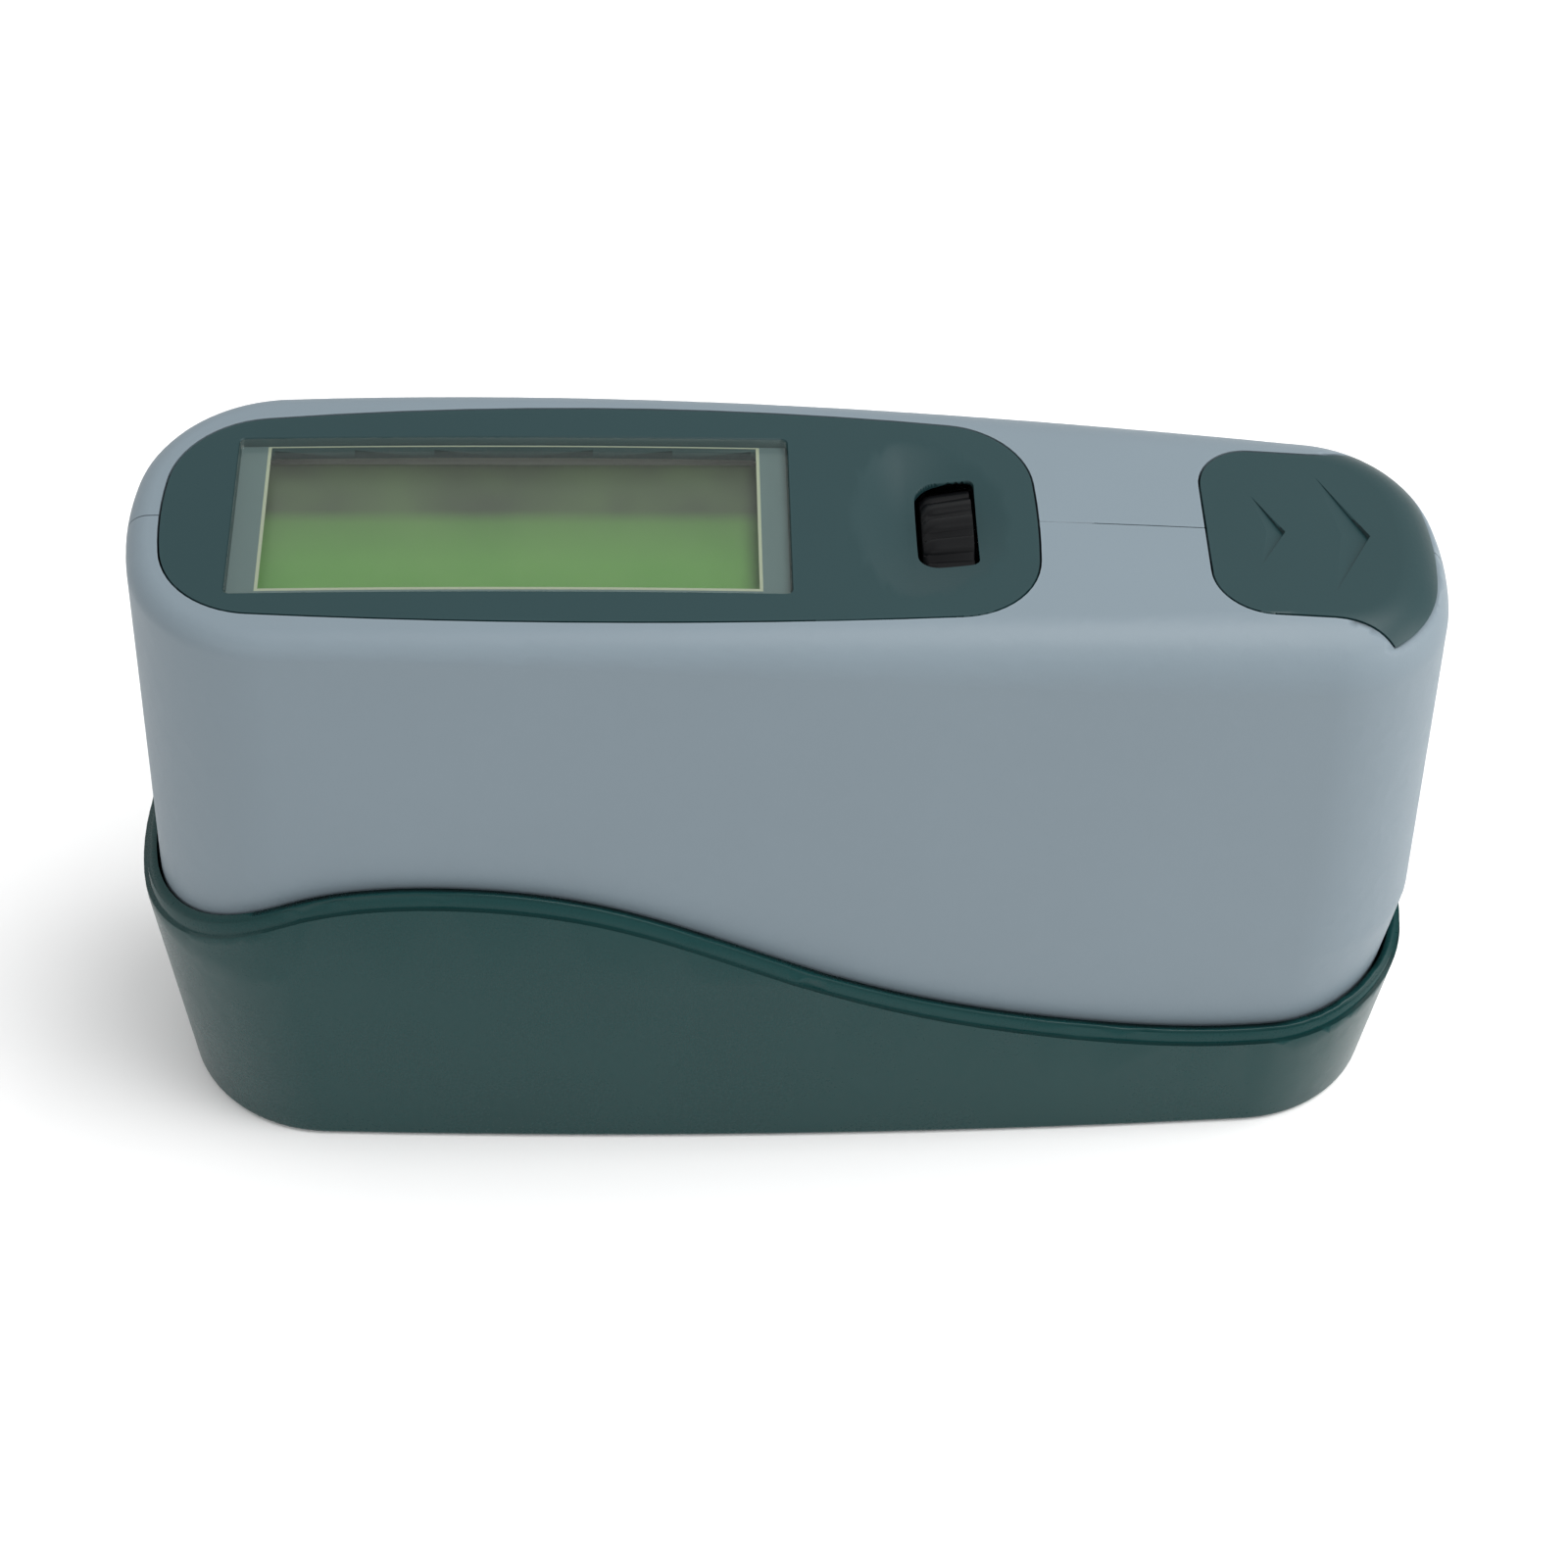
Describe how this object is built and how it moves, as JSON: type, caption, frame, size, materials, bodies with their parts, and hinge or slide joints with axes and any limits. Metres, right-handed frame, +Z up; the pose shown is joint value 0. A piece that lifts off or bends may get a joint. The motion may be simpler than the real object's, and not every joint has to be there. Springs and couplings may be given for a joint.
{
  "type": "portable gloss meter",
  "caption": "Handheld gloss meter with an arched display top and thumbwheel, standing in its calibration holder.",
  "frame": {"origin": "middle of the holder's foot, on the surface it stands on", "axes": "+X along the meter towards its battery end, +Y to the back, +Z up"},
  "size_m": [0.1161, 0.0358, 0.0642],
  "materials": {
    "holder_plastic": "satin moulded, dark green grey",
    "housing_plastic": "fine matte moulded, blue grey",
    "panel_plastic": "satin moulded, dark green grey",
    "window_plastic": "clear gloss with a grey border",
    "lcd_green": "green reflective display glass",
    "black_glass": "polished black glass",
    "clear_glass": "clear polished",
    "lamp_glass": "clear moulded",
    "foam": "matt adhesive foam",
    "black_metal": "black anodised",
    "screw_steel": "zinc plated",
    "tin_can": "tinned",
    "contact_brass": "nickel-flashed spring leaf",
    "contact_rubber": "soft elastomer",
    "black_plastic": "matt moulded",
    "white_plastic": "matt moulded",
    "chip_black": "matt moulded epoxy",
    "circuit_board": "solder-masked laminate",
    "wheel_plastic": "semi-gloss moulded",
    "cell_wrap": "plain printed sleeve",
    "lead_black": "insulated wire",
    "lead_red": "insulated wire"
  },
  "bodies": {
    "holder": {"holder_cup": "holder_plastic", "tile_pad": "foam", "calibration_tile": "black_glass"},
    "meter": {"base_plate": "black_metal", "base_screws": "screw_steel", "block_screws": "screw_steel", "optical_block": "black_plastic", "source_lens": "clear_glass", "receiver_lens": "clear_glass", "lens_rings": "black_metal", "field_stops": "black_metal", "lamp": "lamp_glass", "lamp_board": "circuit_board", "photodiode": "tin_can", "sensor_board": "circuit_board", "end_board_screws": "screw_steel", "display_panel": "panel_plastic", "display_window": "window_plastic", "lcd_glass": "lcd_green", "lcd_frame": "white_plastic", "lcd_reflector": "white_plastic", "contact_strips": "contact_rubber", "main_board": "circuit_board", "board_screws": "screw_steel", "processor_chip": "chip_black", "amplifier_chip": "chip_black", "capacitors": "tin_can", "quartz_crystal": "tin_can", "lead_sockets": "white_plastic", "wheel_potentiometer": "tin_can", "wheel_board": "circuit_board", "battery_cell": "cell_wrap", "battery_sleeve": "black_plastic", "lower_contact": "contact_brass", "upper_contact": "contact_brass", "battery_lead_negative": "lead_black", "battery_lead_positive": "lead_red", "lamp_lead": "lead_black", "sensor_lead": "lead_red", "front_shell": "housing_plastic", "rear_shell": "housing_plastic"},
    "wheel": {"thumbwheel": "wheel_plastic", "wheel_shaft": "screw_steel", "wheel_screw": "screw_steel"},
    "door": {"battery_door": "panel_plastic", "door_contact": "contact_brass"}
  },
  "joints": [
    {"name": "meter_lift", "type": "slide", "parent": "holder", "child": "meter", "axis": [0, 0, 1], "range_m": [0, 0.045]},
    {"name": "wheel_turn", "type": "hinge", "parent": "meter", "child": "wheel", "pos_m": [0.01243, 0, 0.054], "axis": [1, 0, 0], "range_deg": [0, 270]},
    {"name": "door_slide", "type": "slide", "parent": "meter", "child": "door", "axis": [1, 0, 0], "range_m": [0, 0.024]}
  ]
}
